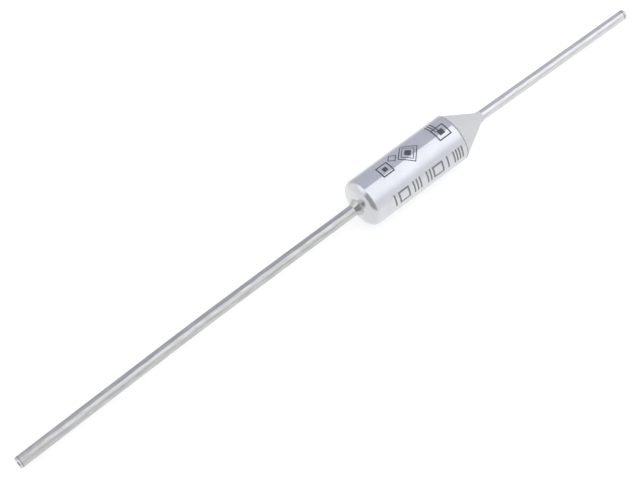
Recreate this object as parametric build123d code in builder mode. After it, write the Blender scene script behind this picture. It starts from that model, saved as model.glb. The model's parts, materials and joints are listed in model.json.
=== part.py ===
from build123d import *
from math import copysign, cos, pi, radians, sin, tan
import os

# Axial thermal fuse of the pellet kind. It lies along X: the closed end of its case and the
# case lead point towards -X, the resin seal and the isolated lead towards +X, and +Z is up.
# The origin is the middle of the case, on its axis. All sizes are in millimetres and degrees.
# The fuse lies on the side of its case, with the tips of both leads in the air.

# Case: a drawn cup, shut by curling its rim over the ceramic bushing
case_diameter = 4.0
case_length = 9.8
case_wall = 0.25
staking_pad_diameter = 1.8  # flat middle of the closed end, where the case lead is staked
closed_end_slope = 0.2  # how far the closed end falls back between the pad and the barrel
closed_end_corner = 0.7  # outside radius between the closed end and the barrel
rim_curl = 0.3  # outside radius of the curled rim
rim_mouth_diameter = 2.9

# Case lead: round wire, staked through the closed end
case_lead_diameter = 0.95
case_lead_length = 31.55  # outside the case
case_lead_first_run = 15.0  # along the case's axis, before the bend
case_lead_bend_angle = 2.5  # downwards
case_lead_bend_radius = 200.0
stake_collar_diameter = 1.45  # where it meets the closed end; it tapers to the wire
stake_collar_length = 0.45
stake_head_diameter = 1.6
stake_head_thickness = 0.22
stake_head_chamfer = 0.1

# Thermal pellet and the two pressure discs
pellet_length = 2.2
pressure_disc_thickness = 0.15
pressure_disc_chamfer = 0.03
pellet_disc_bore_gap = 0.15
contact_disc_diameter = 2.3

# Both springs: the sides of their wire's section, the closed turns at each end and the gap
# inside them, and the points that guide each turn
wire_sides = 6
closed_turns = 0.75
closed_turn_gap = 0.02
turn_points = 12

# Main spring: barrel-shaped; diameters are across the middle of the wire
main_spring_wire = 0.3
main_spring_length = 2.4
main_spring_end_diameter = 1.9
main_spring_middle_diameter = 2.6
main_spring_active_turns = 2.5

# Star contact: a thin disc whose petals flare out against the bore of the case
star_thickness = 0.1
star_hub_diameter = 2.4
star_depth = 0.8
star_petals = 8
star_slot_width = 0.3
star_bore_gap = 0.01

# Trip spring: a weak conical spring; diameters are across the middle of the wire
trip_spring_wire = 0.14
trip_spring_star_diameter = 1.75
trip_spring_bushing_diameter = 2.3
trip_spring_active_turns = 1.5

# Isolated lead: round wire with an upset contact head, bent where it leaves the seal
isolated_lead_diameter = 0.85
isolated_lead_length = 16.1  # outside the seal
isolated_lead_bend_angle = 2.5  # downwards
isolated_lead_bend_radius = 4.0
contact_head_diameter = 1.35
contact_head_thickness = 0.3
lead_tip_taper_length = 0.1  # along the wire
lead_tip_taper_depth = 0.035  # in from the wire's side

# Ceramic bushing
bushing_body_gap = 0.03
bushing_bore_gap = 0.03
bushing_nose_diameter = 1.45
bushing_nose_length = 0.55
bushing_edge_chamfer = 0.12
bushing_bore_chamfer = 0.3

# Resin seal: a cone over the curled rim, with a meniscus where it ends on the isolated lead
seal_edge_inset = 0.13  # from the open end of the case back to the resin's edge
seal_cone_angle = 28.6  # between the cone's side and the axis
seal_neck_diameter = 1.15  # where the straight cone gives way to the meniscus
seal_meniscus_length = 0.5
seal_lip_thickness = 0.03

case_radius = case_diameter / 2
bore_radius = case_radius - case_wall
isolated_lead_radius = isolated_lead_diameter / 2

# Places along the axis, from the closed end to the open end
closed_end_x = -case_length / 2
open_end_x = case_length / 2
pellet_x = closed_end_x + case_wall
pellet_disc_x = pellet_x + pellet_length
main_spring_x = pellet_disc_x + pressure_disc_thickness
contact_disc_x = main_spring_x + main_spring_length
star_x = contact_disc_x + pressure_disc_thickness
contact_face_x = star_x + star_thickness
nose_x = contact_face_x + contact_head_thickness
shoulder_x = nose_x + bushing_nose_length
bushing_end_x = open_end_x - case_wall

os.makedirs("parts", exist_ok=True)


def drawn_cup(radius, end_x, rim_x, pad_radius, corner):
    """A solid of the cup's form, with its closed end at end_x and a sharp rim at rim_x."""
    with BuildPart() as cup:
        with BuildSketch(Plane.XZ):
            with BuildLine():
                Polyline(
                    (end_x, 0),
                    (end_x, pad_radius),
                    (end_x + closed_end_slope, radius),
                    (rim_x, radius),
                    (rim_x, 0),
                    close=True,
                )
            make_face()
            fillet(vertices().group_by(Axis.Y)[-1].sort_by(Axis.X)[0], radius=corner)
        revolve(axis=Axis.X)
    return cup.part


def cylinder_at(x, diameter, length, mode=Mode.ADD):
    """A cylinder along the axis from x to x + length, in the part being built."""
    with Locations(Plane.YZ.offset(x)):
        Cylinder(diameter / 2, length, align=(Align.CENTER, Align.CENTER, Align.MIN), mode=mode)


def pressure_disc(x, diameter):
    """A stamped disc with its back face at x."""
    with BuildPart() as plate:
        cylinder_at(x, diameter, pressure_disc_thickness)
        chamfer(plate.edges(), length=pressure_disc_chamfer)
    return plate.part


def lead_wire(diameter, start_x, bend_x, tip_run, bend_angle, bend_radius):
    """A round wire along the axis from start_x to bend_x, then bent down and straight on."""
    way = copysign(1, bend_x - start_x)
    tip_angle = radians(bend_angle)
    tip = (bend_x + way * tip_run * cos(tip_angle), -tip_run * sin(tip_angle))
    with BuildPart() as wire:
        with BuildLine(Plane.XZ):
            FilletPolyline((start_x, 0), (bend_x, 0), tip, radius=bend_radius)
        with BuildSketch(Plane.YZ.offset(start_x)):
            Circle(diameter / 2)
        sweep()
        tip_face = wire.faces().sort_by(Axis.X, reverse=way > 0)[0]
        chamfer(
            tip_face.edges(),
            length=lead_tip_taper_depth,
            length2=lead_tip_taper_length,
            reference=tip_face,
        )
    return wire.part


def coil_spring(start_x, length, wire, active_turns, radius_at):
    """A compression spring along +X, closed at both ends.

    radius_at gives the centre line's radius from the share of the turns already made.
    """
    closed_pitch = wire + closed_turn_gap
    active_pitch = (length - wire - 2 * closed_turns * closed_pitch) / active_turns
    turns = active_turns + 2 * closed_turns
    steps = round(turns * turn_points)
    centre_line = []
    for step in range(steps + 1):
        turn = turns * step / steps
        active = min(max(turn - closed_turns, 0), active_turns)
        x = start_x + wire / 2 + (turn - active) * closed_pitch + active * active_pitch
        angle = 2 * pi * turn
        radius = radius_at(turn / turns)
        centre_line.append((x, radius * cos(angle), radius * sin(angle)))
    with BuildPart() as spring:
        with BuildLine() as route:
            Spline(*centre_line)
        with BuildSketch(Plane(origin=route.line @ 0, z_dir=route.line % 0)):
            RegularPolygon(wire / 2, wire_sides)
        sweep(is_frenet=True)
    return spring.part


def main_spring_radius(share):
    """The barrel: small at both ends and full in the middle."""
    swell = (main_spring_middle_diameter - main_spring_end_diameter) / 2
    return main_spring_end_diameter / 2 + swell * sin(pi * share)


def trip_spring_radius(share):
    """The cone, growing from the star contact to the bushing."""
    growth = (trip_spring_bushing_diameter - trip_spring_star_diameter) / 2
    return trip_spring_star_diameter / 2 + growth * share


# Case: a cup of even wall, its rim curled in to the mouth, with a hole for the case lead
case_cavity = drawn_cup(
    bore_radius,
    pellet_x,
    bushing_end_x,
    staking_pad_diameter / 2,
    closed_end_corner - case_wall,
)
with BuildPart() as case:
    add(drawn_cup(case_radius, closed_end_x, open_end_x, staking_pad_diameter / 2, closed_end_corner))
    fillet(case.edges().filter_by(GeomType.CIRCLE).sort_by(Axis.X)[-1], radius=rim_curl)
    add(case_cavity, mode=Mode.SUBTRACT)
    cylinder_at(closed_end_x, case_lead_diameter, case_wall, mode=Mode.SUBTRACT)
    cylinder_at(bushing_end_x, rim_mouth_diameter, case_wall, mode=Mode.SUBTRACT)

# Case lead: swaged tapered collar outside the closed end, upset head inside it
with BuildPart() as case_lead:
    add(
        lead_wire(
            case_lead_diameter,
            pellet_x,
            closed_end_x - case_lead_first_run,
            case_lead_length - case_lead_first_run,
            case_lead_bend_angle,
            case_lead_bend_radius,
        )
    )
    with Locations(Plane.YZ.offset(closed_end_x - stake_collar_length)):
        Cone(
            case_lead_diameter / 2,
            stake_collar_diameter / 2,
            stake_collar_length,
            align=(Align.CENTER, Align.CENTER, Align.MIN),
        )
    cylinder_at(pellet_x, stake_head_diameter, stake_head_thickness)
    chamfer(edges(Select.LAST).sort_by(Axis.X)[-1], length=stake_head_chamfer)

# Thermal pellet: pressed into the closed end, around the head of the lead
with BuildPart() as thermal_pellet:
    add(case_cavity)
    split(bisect_by=Plane.YZ.offset(pellet_disc_x), keep=Keep.BOTTOM)
    add(case_lead.part, mode=Mode.SUBTRACT)

pellet_disc = pressure_disc(pellet_disc_x, 2 * (bore_radius - pellet_disc_bore_gap))
contact_disc = pressure_disc(contact_disc_x, contact_disc_diameter)

main_spring = coil_spring(
    main_spring_x,
    main_spring_length,
    main_spring_wire,
    main_spring_active_turns,
    main_spring_radius,
)

# Star contact: a flat hub and petals that lean forward until their tips reach the bore
star_petal_tip = (star_x + star_depth, bore_radius - star_bore_gap)
with BuildPart() as star_contact:
    with BuildSketch(Plane.XZ):
        with BuildLine():
            Polyline((star_x, 0), (star_x, star_hub_diameter / 2), star_petal_tip)
            offset(amount=star_thickness, side=Side.RIGHT)
        make_face()
    revolve(axis=Axis.X)
    with BuildSketch(Plane.YZ.offset(star_x)):
        with PolarLocations((star_hub_diameter + case_diameter) / 2, star_petals):
            Rectangle(case_diameter, star_slot_width)
    extrude(amount=star_depth + star_thickness, mode=Mode.SUBTRACT)

trip_spring = coil_spring(
    contact_face_x,
    shoulder_x - contact_face_x,
    trip_spring_wire,
    trip_spring_active_turns,
    trip_spring_radius,
)

# Ceramic bushing: nose towards the contacts, body held by the curled rim
body_radius = bore_radius - bushing_body_gap
bushing_bore_radius = isolated_lead_radius + bushing_bore_gap
countersink_x = bushing_end_x - bushing_bore_chamfer
countersink_radius = bushing_bore_radius + bushing_bore_chamfer
with BuildPart() as ceramic_bushing:
    with BuildSketch(Plane.XZ):
        with BuildLine():
            Polyline(
                (nose_x, bushing_bore_radius),
                (nose_x, bushing_nose_diameter / 2),
                (shoulder_x, bushing_nose_diameter / 2),
                (shoulder_x, body_radius),
                (bushing_end_x - bushing_edge_chamfer, body_radius),
                (bushing_end_x, body_radius - bushing_edge_chamfer),
                (bushing_end_x, countersink_radius),
                (countersink_x, bushing_bore_radius),
                close=True,
            )
        make_face()
    revolve(axis=Axis.X)

# Places on the resin seal, which starts flush with the case
seal_edge_x = open_end_x - seal_edge_inset
neck_radius = seal_neck_diameter / 2
neck_x = seal_edge_x + (case_radius - neck_radius) / tan(radians(seal_cone_angle))
seal_tip_x = neck_x + seal_meniscus_length

# Isolated lead: contact head on the bushing's nose, first bend just outside the seal
half_bend = radians(isolated_lead_bend_angle) / 2
isolated_lead_bend_x = seal_tip_x + isolated_lead_bend_radius * tan(half_bend)
with BuildPart() as isolated_lead:
    add(
        lead_wire(
            isolated_lead_diameter,
            contact_face_x,
            isolated_lead_bend_x,
            isolated_lead_length,
            isolated_lead_bend_angle,
            isolated_lead_bend_radius,
        )
    )
    cylinder_at(contact_face_x, contact_head_diameter, contact_head_thickness)

# Resin seal: fills the bushing's countersink and the mouth, and covers the curled rim
with BuildPart() as resin_seal:
    with BuildSketch(Plane.XZ):
        with BuildLine():
            Polyline(
                (countersink_x, 0),
                (countersink_x, bushing_bore_radius),
                (bushing_end_x, countersink_radius),
                (bushing_end_x, rim_mouth_diameter / 2),
                (seal_edge_x, rim_mouth_diameter / 2),
                (seal_edge_x, case_radius),
            )
            cone = Line((seal_edge_x, case_radius), (neck_x, neck_radius))
            lip = (seal_tip_x, isolated_lead_radius + seal_lip_thickness)
            TangentArc(cone @ 1, lip, tangent=cone % 1)
            Polyline(lip, (seal_tip_x, 0), (countersink_x, 0))
        make_face()
    revolve(axis=Axis.X)
    add(case.part, mode=Mode.SUBTRACT)
    add(isolated_lead.part, mode=Mode.SUBTRACT)

pieces = {
    "case": case.part,
    "case_lead": case_lead.part,
    "thermal_pellet": thermal_pellet.part,
    "pellet_disc": pellet_disc,
    "main_spring": main_spring,
    "contact_disc": contact_disc,
    "star_contact": star_contact.part,
    "trip_spring": trip_spring,
    "ceramic_bushing": ceramic_bushing.part,
    "isolated_lead": isolated_lead.part,
    "resin_seal": resin_seal.part,
}
for name, piece in pieces.items():
    piece.label = name
    export_step(piece, f"parts/{name}.step")
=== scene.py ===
import json
import logging
from dataclasses import dataclass, field
from enum import Enum
from math import cos, radians, sin

import bpy
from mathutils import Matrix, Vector


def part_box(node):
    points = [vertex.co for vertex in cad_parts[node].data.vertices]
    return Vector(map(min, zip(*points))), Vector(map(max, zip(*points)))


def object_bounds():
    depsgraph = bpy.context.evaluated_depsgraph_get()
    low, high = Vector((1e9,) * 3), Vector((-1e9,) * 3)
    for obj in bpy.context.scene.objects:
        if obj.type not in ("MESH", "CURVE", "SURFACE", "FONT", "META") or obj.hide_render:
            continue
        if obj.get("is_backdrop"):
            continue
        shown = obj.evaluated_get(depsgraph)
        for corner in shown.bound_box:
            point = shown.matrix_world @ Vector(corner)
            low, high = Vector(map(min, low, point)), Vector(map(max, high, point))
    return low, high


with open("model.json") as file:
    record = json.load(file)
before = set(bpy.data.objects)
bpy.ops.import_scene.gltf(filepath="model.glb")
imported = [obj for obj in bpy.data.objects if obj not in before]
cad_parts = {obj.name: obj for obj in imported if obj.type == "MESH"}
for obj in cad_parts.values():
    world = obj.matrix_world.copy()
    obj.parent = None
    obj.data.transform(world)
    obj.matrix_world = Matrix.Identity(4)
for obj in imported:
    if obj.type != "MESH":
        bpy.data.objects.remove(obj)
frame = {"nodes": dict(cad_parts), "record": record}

# Dresses the axial thermal fuse: a finish for every piece, and a pale studio around it.
# The frame is that of the solids: +X runs from the case's closed end to the resin seal, and
# +Z is up. Blender's lengths are metres, and MM turns a size in millimetres into them.

log = logging.getLogger("thermal_fuse")

MM = 0.001
# The part of a noise's range that shows: first for clouds and grain, then for drawing lines
CLOUD_SPAN = (0.3, 0.7)
LINE_SPAN = (0.25, 0.75)

Colour = tuple[float, float, float]


class Graph:
    """Adds and links the shader nodes of one material or world."""

    def __init__(self, tree: bpy.types.NodeTree) -> None:
        """Starts from an empty tree.

        Args:
            tree: The node tree to fill.
        """
        self.tree = tree
        self.tree.nodes.clear()

    def node(self, kind: str, **settings: object) -> bpy.types.Node:
        """Adds one node.

        Args:
            kind: The node's type name.
            settings: Attributes to set on it.

        Returns:
            The new node.
        """
        node = self.tree.nodes.new(kind)
        for name, value in settings.items():
            setattr(node, name, value)
        return node

    def feed(self, socket: bpy.types.NodeSocket, value: object) -> None:
        """Links an input, or sets it to a plain value.

        Args:
            socket: The input to feed.
            value: An output socket, a number or a colour.
        """
        if isinstance(value, bpy.types.NodeSocket):
            self.tree.links.new(value, socket)
        elif socket.type == "RGBA":
            socket.default_value = (*value, 1.0)
        else:
            socket.default_value = value

    def math(self, operation: str, *values: object) -> bpy.types.NodeSocket:
        """Works out one number from others.

        Args:
            operation: The Math node's operation.
            values: One to three sockets or numbers.

        Returns:
            The result.
        """
        node = self.node("ShaderNodeMath", operation=operation)
        for socket, value in zip(node.inputs, values):
            self.feed(socket, value)
        return node.outputs[0]

    def remap(
        self,
        value: bpy.types.NodeSocket,
        span: tuple[float, float],
        result: tuple[float, float] = (0.0, 1.0),
    ) -> bpy.types.NodeSocket:
        """Maps one range smoothly onto another, and holds it at the ends.

        Args:
            value: The number to map.
            span: Where the input range starts and ends.
            result: What the two ends become.

        Returns:
            The mapped number.
        """
        node = self.node("ShaderNodeMapRange", interpolation_type="SMOOTHSTEP")
        for socket, number in zip(node.inputs, (value, *span, *result)):
            self.feed(socket, number)
        return node.outputs[0]

    def blend(self, share: object, first: object, second: object) -> bpy.types.NodeSocket:
        """Mixes two colours.

        Args:
            share: How much of the second colour shows.
            first: The first colour.
            second: The second colour.

        Returns:
            The mixed colour.
        """
        node = self.node("ShaderNodeMix", data_type="RGBA")
        factor, first_colour, second_colour = (node.inputs[index] for index in (0, 6, 7))
        self.feed(factor, share)
        self.feed(first_colour, first)
        self.feed(second_colour, second)
        return node.outputs[2]

    def place(self) -> bpy.types.NodeSocket:
        """The point on the piece, in metres in the frame."""
        return self.node("ShaderNodeTexCoord").outputs["Object"]

    def parts(self, vector: bpy.types.NodeSocket) -> tuple[bpy.types.NodeSocket, ...]:
        """A vector's parts along X, Y and Z."""
        apart = self.node("ShaderNodeSeparateXYZ")
        self.feed(apart.inputs[0], vector)
        return tuple(apart.outputs)

    def noise(
        self, place: bpy.types.NodeSocket, grain: tuple[float, float, float], detail: float = 3.0
    ) -> bpy.types.NodeSocket:
        """Noise whose features have a size of their own along each axis.

        Args:
            place: The coordinates to read, in metres.
            grain: The features' size along X, Y and Z, in millimetres.
            detail: The number of octaves.

        Returns:
            A number that varies around one half.
        """
        scaled = self.node("ShaderNodeMapping")
        self.feed(scaled.inputs["Vector"], place)
        self.feed(scaled.inputs["Scale"], [1 / (size * MM) for size in grain])
        noise = self.node("ShaderNodeTexNoise")
        self.feed(noise.inputs["Vector"], scaled.outputs[0])
        self.feed(noise.inputs["Scale"], 1.0)
        self.feed(noise.inputs["Detail"], detail)
        return noise.outputs["Fac"]

    def relief(self, height: bpy.types.NodeSocket, depth: float) -> bpy.types.NodeSocket:
        """A normal from a height.

        Args:
            height: The height, from 0 to 1.
            depth: What 1 stands for, in millimetres.

        Returns:
            The normal.
        """
        bump = self.node("ShaderNodeBump")
        self.feed(bump.inputs["Distance"], depth * MM)
        self.feed(bump.inputs["Height"], height)
        return bump.outputs["Normal"]

    def surface(self, **inputs: object) -> None:
        """Ends the material in one shader.

        Args:
            inputs: The shader's inputs, with underscores for the spaces in their names.
        """
        shader = self.node("ShaderNodeBsdfPrincipled")
        for name, value in inputs.items():
            self.feed(shader.inputs[name.replace("_", " ")], value)
        output = self.node("ShaderNodeOutputMaterial")
        self.tree.links.new(shader.outputs[0], output.inputs["Surface"])


def new_material(name: str) -> tuple[bpy.types.Material, Graph]:
    """Starts a material.

    Args:
        name: The material's name.

    Returns:
        The material, and the graph that fills it.
    """
    material = bpy.data.materials.new(name)
    material.use_nodes = True
    return material, Graph(material.node_tree)


@dataclass(frozen=True)
class Metal:
    """A bright metal with fine lines along X, left by drawing, and a cloudy haze.

    The lines, their depth and the haze are sized in millimetres.
    """

    name: str
    colour: Colour
    shade: Colour
    roughness: float
    roughness_spread: float = 0.12
    line_length: float = 1.4
    line_width: float = 0.05
    line_depth: float = 0.0012
    haze: tuple[float, float, float] = (1.6, 1.6, 1.6)

    def colours(self, graph: Graph, place: bpy.types.NodeSocket) -> bpy.types.NodeSocket:
        """The bright colour, clouded by the shade."""
        haze = graph.noise(place, self.haze)
        return graph.blend(graph.remap(haze, CLOUD_SPAN), self.colour, self.shade)

    def lines(self, graph: Graph, place: bpy.types.NodeSocket) -> bpy.types.NodeSocket:
        """The drawing lines, as a number around one half."""
        return graph.noise(place, (self.line_length, self.line_width, self.line_width))

    def satin(self, graph: Graph, lines: bpy.types.NodeSocket) -> bpy.types.NodeSocket:
        """The roughness, which follows the drawing lines."""
        low = self.roughness - self.roughness_spread / 2
        return graph.remap(lines, LINE_SPAN, (low, low + self.roughness_spread))

    def build(self) -> bpy.types.Material:
        """Makes the material."""
        material, graph = new_material(self.name)
        place = graph.place()
        lines = self.lines(graph, place)
        graph.surface(
            Base_Color=self.colours(graph, place),
            Metallic=1.0,
            Roughness=self.satin(graph, lines),
            Normal=graph.relief(lines, self.line_depth),
        )
        return material


@dataclass(frozen=True)
class CutWire(Metal):
    """A wire with a sheared tip: the cutter's burr line is darkened with painted shade, and the end
    past it gets a tone of its own, a painted reflection of the pinched end.

    Its tip's place is along X, in millimetres, as the burr line's inset and width are.
    """

    tip: float = 0.0
    burr_inset: float = 0.26
    burr_width: float = 0.08
    # Painted shade: the dark tone laid on the burr line, where the cutter's pinch leaves a crease
    # in shade
    burr_shade: Colour = (0.42, 0.42, 0.42)
    # Painted reflection: the tone laid on the pinched end past the burr line
    sheared_reflection: Colour = (0.78, 0.78, 0.77)

    def colours(self, graph: Graph, place: bpy.types.NodeSocket) -> bpy.types.NodeSocket:
        """The wire's colour, with painted shade on its tip's burr line and a painted reflection on
        its sheared end.
        """
        along = graph.math("DIVIDE", graph.parts(place)[0], MM)
        inset = graph.math("ABSOLUTE", graph.math("SUBTRACT", along, self.tip))
        # The end past the burr line, which gets the painted reflection
        end = graph.math("LESS_THAN", inset, self.burr_inset)
        # The burr line, which gets the painted shade
        line = graph.math("COMPARE", inset, self.burr_inset, self.burr_width / 2)
        colour = graph.blend(end, super().colours(graph, place), self.sheared_reflection)
        return graph.blend(line, colour, self.burr_shade)


class Outline(Enum):
    """The plain shapes that a mark's outline may have."""

    SQUARE = "MAXIMUM"
    DIAMOND = "ADD"


@dataclass(frozen=True)
class OutlineMark:
    """An outlined shape on the barrel, with or without a dot of the same shape in its middle.

    Its place is along X, and all its sizes are in millimetres.
    """

    shape: Outline
    x: float
    half_size: float
    line: float = 0.11
    dot: float = 0.0

    def mask(
        self, graph: Graph, along: bpy.types.NodeSocket, around: bpy.types.NodeSocket
    ) -> bpy.types.NodeSocket:
        """Where the mark covers the barrel.

        Args:
            graph: The material's graph.
            along: The place along the axis, in millimetres.
            around: The place around the barrel from the row's middle, in millimetres.

        Returns:
            One on the mark and zero off it.
        """
        side = graph.math("ABSOLUTE", graph.math("SUBTRACT", along, self.x))
        rise = graph.math("ABSOLUTE", around)
        reach = graph.math(self.shape.value, side, rise)
        ring = graph.math("COMPARE", reach, self.half_size, self.line / 2)
        if not self.dot:
            return ring
        return graph.math("MAXIMUM", ring, graph.math("LESS_THAN", reach, self.dot))


@dataclass(frozen=True)
class BarMark:
    """One straight bar on the barrel, at a place along X, in millimetres."""

    x: float
    width: float
    height: float = 1.15

    def mask(
        self, graph: Graph, along: bpy.types.NodeSocket, around: bpy.types.NodeSocket
    ) -> bpy.types.NodeSocket:
        """Where the bar covers the barrel, in the same terms as the outlined marks."""
        inside = graph.math("COMPARE", along, self.x, self.width / 2)
        level = graph.math("COMPARE", around, 0.0, self.height / 2)
        return graph.math("MULTIPLY", inside, level)


@dataclass(frozen=True)
class MarkRow:
    """A row of etched marks along the barrel, at an angle in degrees around X from +Y."""

    angle: float
    colour: Colour
    marks: tuple[OutlineMark | BarMark, ...]

    def mask(
        self, graph: Graph, along: bpy.types.NodeSocket, turn: bpy.types.NodeSocket, radius: float
    ) -> bpy.types.NodeSocket:
        """Where the row's marks cover the barrel.

        Args:
            graph: The material's graph.
            along: The place along the axis, in millimetres.
            turn: The angle around the axis from +Y, in radians.
            radius: The barrel's radius, in millimetres.

        Returns:
            One on the marks and zero off them.
        """
        around = graph.math("MULTIPLY", graph.math("SUBTRACT", turn, radians(self.angle)), radius)
        covered = self.marks[0].mask(graph, along, around)
        for mark in self.marks[1:]:
            covered = graph.math("MAXIMUM", covered, mark.mask(graph, along, around))
        return covered


@dataclass(frozen=True)
class MarkedMetal(Metal):
    """The case's plating, with rows of etched marks of no meaning on a barrel of this radius."""

    rows: tuple[MarkRow, ...] = ()
    radius: float = 0.0
    etched_roughness: float = 0.55

    def build(self) -> bpy.types.Material:
        """Makes the material."""
        material, graph = new_material(self.name)
        place = graph.place()
        lines = self.lines(graph, place)
        x, y, up = graph.parts(place)
        along = graph.math("DIVIDE", x, MM)
        turn = graph.math("ARCTAN2", up, y)
        colour = self.colours(graph, place)
        etched = 0.0
        for row in self.rows:
            covered = row.mask(graph, along, turn, self.radius)
            colour = graph.blend(covered, colour, row.colour)
            etched = graph.math("MAXIMUM", etched, covered)
        rougher = graph.math("MULTIPLY", etched, self.etched_roughness)
        graph.surface(
            Base_Color=colour,
            Metallic=1.0,
            Roughness=graph.math("MAXIMUM", self.satin(graph, lines), rougher),
            Normal=graph.relief(lines, self.line_depth),
        )
        return material


@dataclass(frozen=True)
class Mineral:
    """A matte, grained solid: cured resin, fired ceramic or pressed compound.

    The grain, its depth and the clouds are sized in millimetres.
    """

    name: str
    colour: Colour
    shade: Colour
    roughness: float
    roughness_spread: float = 0.1
    grain: float = 0.12
    grain_depth: float = 0.004
    cloud: float = 1.2

    def build(self) -> bpy.types.Material:
        """Makes the material."""
        material, graph = new_material(self.name)
        place = graph.place()
        cloud = graph.noise(place, (self.cloud,) * 3)
        grain = graph.noise(place, (self.grain,) * 3)
        low = self.roughness - self.roughness_spread / 2
        graph.surface(
            Base_Color=graph.blend(graph.remap(cloud, CLOUD_SPAN), self.colour, self.shade),
            Roughness=graph.remap(grain, CLOUD_SPAN, (low, low + self.roughness_spread)),
            Normal=graph.relief(grain, self.grain_depth),
        )
        return material


# The size of the wires' haze, in millimetres: it is drawn out along them
WIRE_HAZE = (1.2, 0.2, 0.2)
# The tones of the etched marks, in the row that faces up and in the one on the side
UPPER_INK = (0.17, 0.17, 0.19)
LOWER_INK = (0.34, 0.35, 0.34)


def bars(start: float, count: int, width: float = 0.15, pitch: float = 0.32) -> tuple[BarMark, ...]:
    """A group of equal bars.

    Args:
        start: The place of the first along the axis, in millimetres.
        count: How many there are.
        width: The width of each, in millimetres.
        pitch: From one to the next, in millimetres.

    Returns:
        The bars.
    """
    return tuple(BarMark(start + pitch * place, width) for place in range(count))


def box(x: float) -> OutlineMark:
    """An open box as tall as the bars."""
    return OutlineMark(Outline.SQUARE, x, 0.46, line=0.16)


def barrel_radius() -> float:
    """The radius of the case's barrel, in millimetres, from its mount in the record."""
    mounts = {mount["name"]: mount for mount in frame["record"]["mounts"]}
    return mounts["case_barrel"]["dims"]["r_mm"]


@dataclass
class Assembly:
    """A group of the fuse's pieces, and the finish that each one gets."""

    name: str
    finishes: dict[str, Metal | Mineral]

    def dress(self) -> None:
        """Makes each finish once, and puts it on its pieces."""
        made: dict[str, bpy.types.Material] = {}
        for node, finish in self.finishes.items():
            if finish.name not in made:
                made[finish.name] = finish.build()
            piece = frame["nodes"][node]
            piece.data.materials.clear()
            piece.data.materials.append(made[finish.name])
            log.info("%s: %s in %s", self.name, node, finish.name)


CASE_PLATING = MarkedMetal(
    "case_plating",
    colour=(0.86, 0.87, 0.90),
    shade=(0.80, 0.81, 0.85),
    roughness=0.2,
    radius=barrel_radius(),
    rows=(
        MarkRow(
            80,
            UPPER_INK,
            (
                OutlineMark(Outline.SQUARE, -1.9, 0.5, dot=0.2),
                OutlineMark(Outline.DIAMOND, 0.4, 0.95, dot=0.36),
                OutlineMark(Outline.DIAMOND, 0.4, 0.66, line=0.09),
            ),
        ),
        MarkRow(66, UPPER_INK, (OutlineMark(Outline.DIAMOND, -0.8, 0.4),)),
        MarkRow(87, UPPER_INK, (OutlineMark(Outline.SQUARE, 3.6, 0.56, dot=0.26),)),
        MarkRow(64, UPPER_INK, bars(3.05, 3, width=0.1, pitch=0.24)),
        MarkRow(
            156,
            LOWER_INK,
            (
                *bars(-2.6, 1),
                box(-1.7),
                *bars(-0.7, 3),
                *bars(0.65, 2),
                box(1.75),
                *bars(2.75, 1),
                *bars(3.4, 4, pitch=0.28),
            ),
        ),
    ),
)
CASE_LEAD_TIN = CutWire(
    "case_lead_tin",
    colour=(0.745, 0.735, 0.72),
    shade=(0.60, 0.59, 0.58),
    roughness=0.17,
    haze=WIRE_HAZE,
    tip=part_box("case_lead")[0].x / MM,
)
ISOLATED_LEAD_SILVER = CutWire(
    "isolated_lead_silver",
    colour=(0.91, 0.895, 0.895),
    shade=(0.79, 0.775, 0.775),
    roughness=0.18,
    haze=WIRE_HAZE,
    tip=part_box("isolated_lead")[1].x / MM,
)
RESIN = Mineral("resin", (0.70, 0.705, 0.70), (0.68, 0.685, 0.68), 0.55)
DISC_STEEL = Metal("disc_steel", (0.66, 0.66, 0.67), (0.6, 0.6, 0.62), 0.3)
SPRING_STEEL = Metal("spring_steel", (0.58, 0.58, 0.6), (0.5, 0.5, 0.53), 0.32)
STAR_SILVER = Metal("star_silver", (0.9, 0.88, 0.85), (0.84, 0.82, 0.78), 0.18)
STEATITE = Mineral("steatite", (0.9, 0.88, 0.83), (0.86, 0.84, 0.79), 0.7)
PELLET_COMPOUND = Mineral("pellet_compound", (0.85, 0.83, 0.74), (0.8, 0.78, 0.68), 0.8)

OUTSIDE = Assembly(
    "outside",
    {
        "case": CASE_PLATING,
        "case_lead": CASE_LEAD_TIN,
        "isolated_lead": ISOLATED_LEAD_SILVER,
        "resin_seal": RESIN,
    },
)
INSIDE = Assembly(
    "inside",
    {
        "thermal_pellet": PELLET_COMPOUND,
        "pellet_disc": DISC_STEEL,
        "main_spring": SPRING_STEEL,
        "contact_disc": DISC_STEEL,
        "star_contact": STAR_SILVER,
        "trip_spring": SPRING_STEEL,
        "ceramic_bushing": STEATITE,
    },
)


class Measure(Enum):
    """What the edge of a patch of the tent is measured by.

    X, Y and UP are a direction's own parts. ALONG and ACROSS are where it meets a level plane
    one unit above the fuse.
    """

    X = 0
    Y = 1
    UP = 2
    ALONG = 3
    ACROSS = 4


@dataclass(frozen=True)
class Patch:
    """A part of the tent with a tone of its own and soft edges.

    Each edge says where the patch starts to show and where it is full.
    """

    tone: Colour
    edges: tuple[tuple[Measure, float, float], ...]

    def cover(
        self, graph: Graph, under: object, places: tuple[bpy.types.NodeSocket, ...]
    ) -> bpy.types.NodeSocket:
        """Lays the patch over a tone.

        Args:
            graph: The world's graph.
            under: The tone under the patch.
            places: What each measure gives for a direction, in the order of their values.

        Returns:
            The tone with the patch on it.
        """
        share = None
        for measure, start, full in self.edges:
            edge = graph.remap(places[measure.value], (start, full))
            share = edge if share is None else graph.math("MULTIPLY", share, edge)
        return graph.blend(share, under, self.tone)


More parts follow.
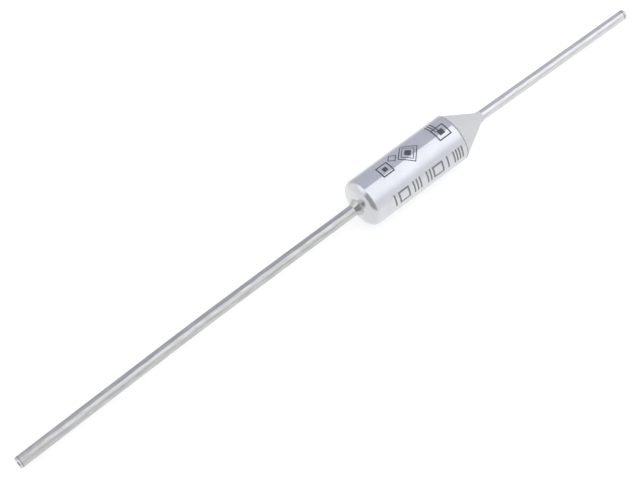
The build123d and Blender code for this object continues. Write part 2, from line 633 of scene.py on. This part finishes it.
@dataclass
class Softbox:
    """A large soft area light over the fuse, which shows in no reflection.

    Its place and size are in metres, and its power in watts.
    """

    name: str = "softbox"
    centre: tuple[float, float, float] = (0.0, -0.1, 0.5)
    length: float = 0.5
    width: float = 0.4
    power: float = 0.6

    def build(self) -> None:
        """Hangs the light and turns it towards the middle of the case."""
        lamp = bpy.data.lights.new(self.name, "AREA")
        lamp.shape = "RECTANGLE"
        lamp.size, lamp.size_y = self.length, self.width
        lamp.energy = self.power
        holder = bpy.data.objects.new(self.name, lamp)
        holder.location = self.centre
        holder.rotation_euler = (-Vector(self.centre)).to_track_quat("-Z", "Y").to_euler()
        holder.visible_glossy = False
        bpy.context.scene.collection.objects.link(holder)
        log.info("light %s", self.name)


@dataclass
class Camera:
    """The camera, placed by where it looks, from where and from how far away.

    Its angles are in degrees, and its lens and sensor in millimetres.
    """

    aim: Vector = field(default_factory=lambda: Vector((-8.9, -0.34, 0.0)) * MM)
    azimuth: float = 40.0
    elevation: float = 62.14
    distance: float = 113.2 * MM
    focal_length: float = 84.4
    sensor_width: float = 36.0
    nearest: float = 1 * MM

    def build(self) -> None:
        """Adds the camera and makes it the scene's."""
        flat = cos(radians(self.elevation))
        back = Vector(
            (
                -flat * sin(radians(self.azimuth)),
                -flat * cos(radians(self.azimuth)),
                sin(radians(self.elevation)),
            )
        )
        data = bpy.data.cameras.new("camera")
        data.sensor_width = self.sensor_width
        data.lens = self.focal_length
        data.clip_start = self.nearest
        holder = bpy.data.objects.new("camera", data)
        holder.location = self.aim + self.distance * back
        holder.rotation_euler = (-back).to_track_quat("-Z", "Y").to_euler()
        bpy.context.scene.collection.objects.link(holder)
        bpy.context.scene.camera = holder
        log.info("camera")


# The edge that keeps a lit panel overhead
ABOVE = (Measure.UP, 0.0, 0.05)


@dataclass
class Studio:
    """The pale floor, the softbox over it and the tent around them, sized in metres."""

    floor_level: float
    softbox: Softbox = field(default_factory=Softbox)
    floor_size: float = 1.6
    floor_colour: Colour = (0.52, 0.52, 0.52)
    floor_glow: float = 0.64
    base: Colour = (0.85, 0.86, 0.865)
    patches: tuple[Patch, ...] = (
        # The front wall
        Patch((0.74, 0.755, 0.785), ((Measure.UP, -0.2, 0.1),)),
        # The back wall
        Patch((0.51, 0.52, 0.59), ((Measure.Y, -0.3, 0.3), (Measure.UP, -0.6, -0.3))),
        # The wall past the case lead
        Patch((0.79, 0.79, 0.79), ((Measure.X, 0.1, -0.3),)),
        # The paler table past the closed end, at the back
        Patch(
            (0.88, 0.89, 0.88),
            ((Measure.X, 0.1, -0.1), (Measure.Y, 0.29, 0.43), (Measure.UP, -0.45, -0.6)),
        ),
        # The lit panel over the fuse
        Patch(
            (1.04, 1.06, 1.10),
            (
                ABOVE,
                (Measure.ALONG, -0.25, -0.05),
                (Measure.ALONG, 1.6, 1.2),
                (Measure.ACROSS, -1.6, -0.4),
                (Measure.ACROSS, 0.31, 0.27),
            ),
        ),
        # The lit panel over the case lead, at the back
        Patch(
            (1.02, 1.04, 1.07),
            (
                ABOVE,
                (Measure.ALONG, -1.1, -0.8),
                (Measure.ALONG, 0.0, -0.12),
                (Measure.ACROSS, 0.1, 0.25),
                (Measure.ACROSS, 2.0, 1.4),
            ),
        ),
        # The dark side that the camera looks in from
        Patch(
            (0.35, 0.355, 0.37),
            (
                (Measure.UP, 0.0, 0.1),
                (Measure.X, -0.02, -0.12),
                (Measure.X, -0.95, -0.82),
                (Measure.Y, 0.14, 0.02),
            ),
        ),
    )

    def build_floor(self) -> None:
        """Lays the lit table that the fuse lies on."""
        bpy.ops.mesh.primitive_plane_add(size=self.floor_size, location=(0, 0, self.floor_level))
        floor = bpy.context.object
        floor.name = "floor"
        material, graph = new_material("floor")
        graph.surface(
            Base_Color=self.floor_colour,
            Roughness=1.0,
            Specular_IOR_Level=0.0,
            Emission_Color=(1.0, 1.0, 1.0),
            Emission_Strength=self.floor_glow,
        )
        floor.data.materials.append(material)
        floor.visible_glossy = False
        floor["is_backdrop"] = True
        log.info("floor")

    def build_tent(self) -> None:
        """Wraps the scene in the tent, which the camera sees as white."""
        world = bpy.data.worlds.new("tent")
        bpy.context.scene.world = world
        world.use_nodes = True
        graph = Graph(world.node_tree)
        x, y, up = graph.parts(graph.node("ShaderNodeTexCoord").outputs["Generated"])
        places = (x, y, up, graph.math("DIVIDE", x, up), graph.math("DIVIDE", y, up))
        tone: object = self.base
        for patch in self.patches:
            tone = patch.cover(graph, tone, places)
        seen = graph.node("ShaderNodeLightPath").outputs["Is Camera Ray"]
        background = graph.node("ShaderNodeBackground")
        graph.feed(background.inputs["Color"], graph.blend(seen, tone, (1.0, 1.0, 1.0)))
        output = graph.node("ShaderNodeOutputWorld")
        graph.tree.links.new(background.outputs[0], output.inputs["Surface"])
        log.info("tent")

    def build(self) -> None:
        """Builds the floor, the tent and the light."""
        bpy.context.scene.view_settings.view_transform = "Standard"
        self.build_floor()
        self.build_tent()
        self.softbox.build()


def main() -> None:
    """Dresses the fuse and builds the studio around it."""
    logging.basicConfig(level=logging.INFO, format="%(name)s: %(message)s")
    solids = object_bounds()
    OUTSIDE.dress()
    INSIDE.dress()
    Studio(floor_level=solids[0].z).build()
    Camera().build()


if __name__ == "__main__":
    main()
